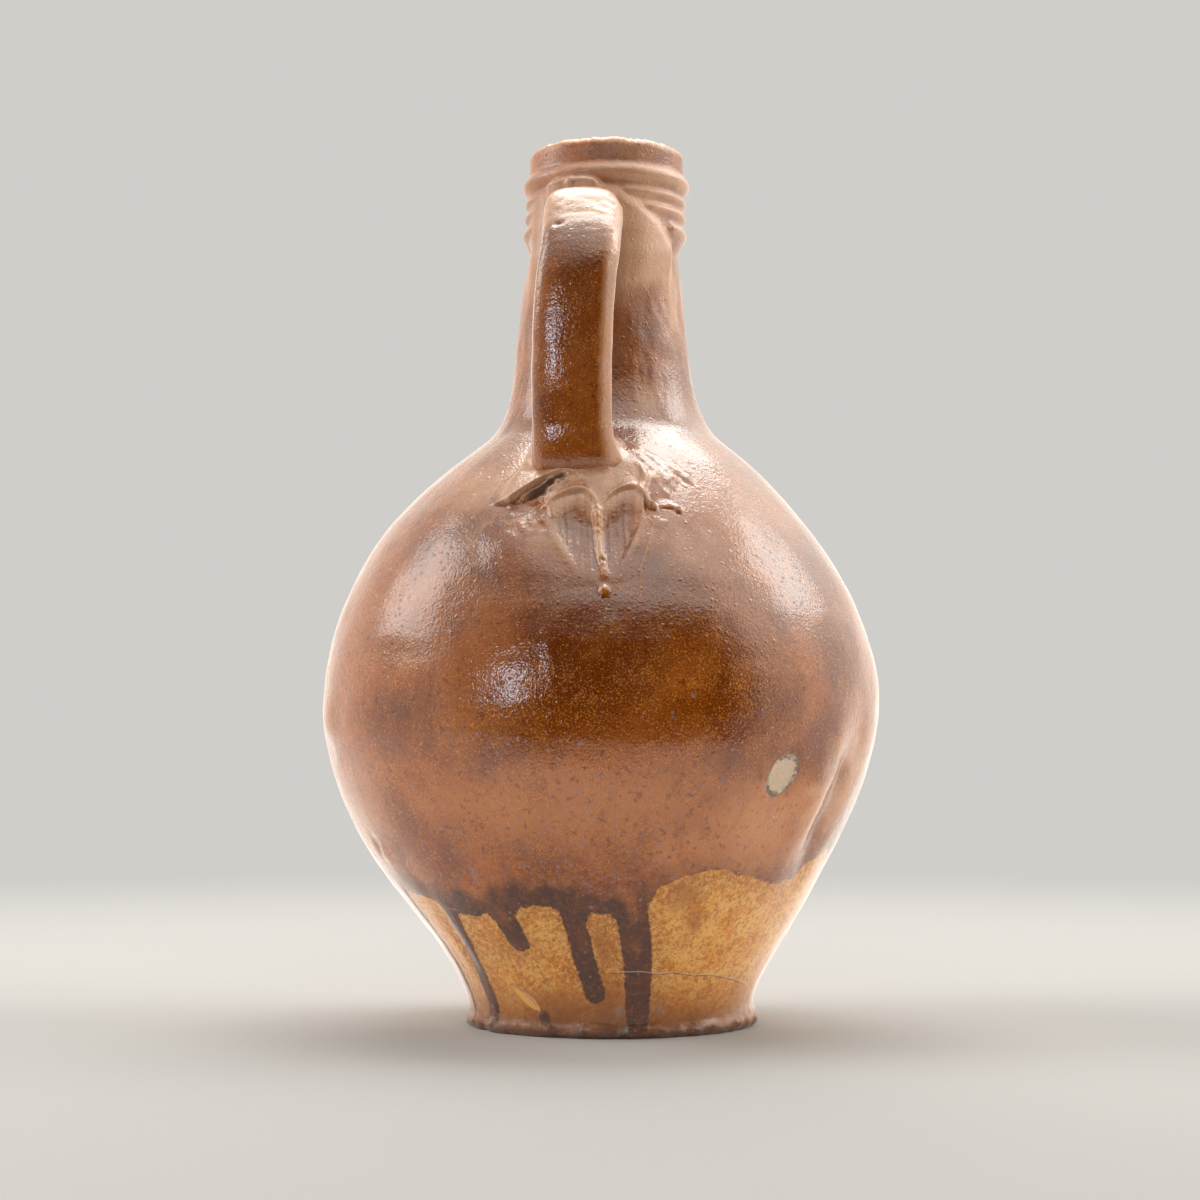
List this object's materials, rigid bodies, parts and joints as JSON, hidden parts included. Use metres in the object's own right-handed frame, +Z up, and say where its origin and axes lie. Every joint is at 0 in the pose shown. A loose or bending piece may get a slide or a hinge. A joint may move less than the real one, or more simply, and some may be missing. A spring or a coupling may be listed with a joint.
{
  "type": "bellarmine jug",
  "caption": "Stoneware jug with a round belly, narrow neck, ribbed collar, strap handle with a thumbed tail and a bearded mask, for carrying and pouring liquids.",
  "frame": {"origin": "middle of the foot's flat underside", "axes": "+Z up through the mouth, -Y towards the strap handle, +Y towards the mask"},
  "size_m": [0.1572, 0.1572, 0.25],
  "materials": {
    "brown_salt_glaze": "glossy salt glaze with an orange-peel skin over a brown iron wash, tan where the wash ran out above the foot"
  },
  "bodies": {
    "root": {"thrown_body": "brown_salt_glaze", "strap_handle": "brown_salt_glaze", "bearded_mask": "brown_salt_glaze"}
  },
  "joints": []
}
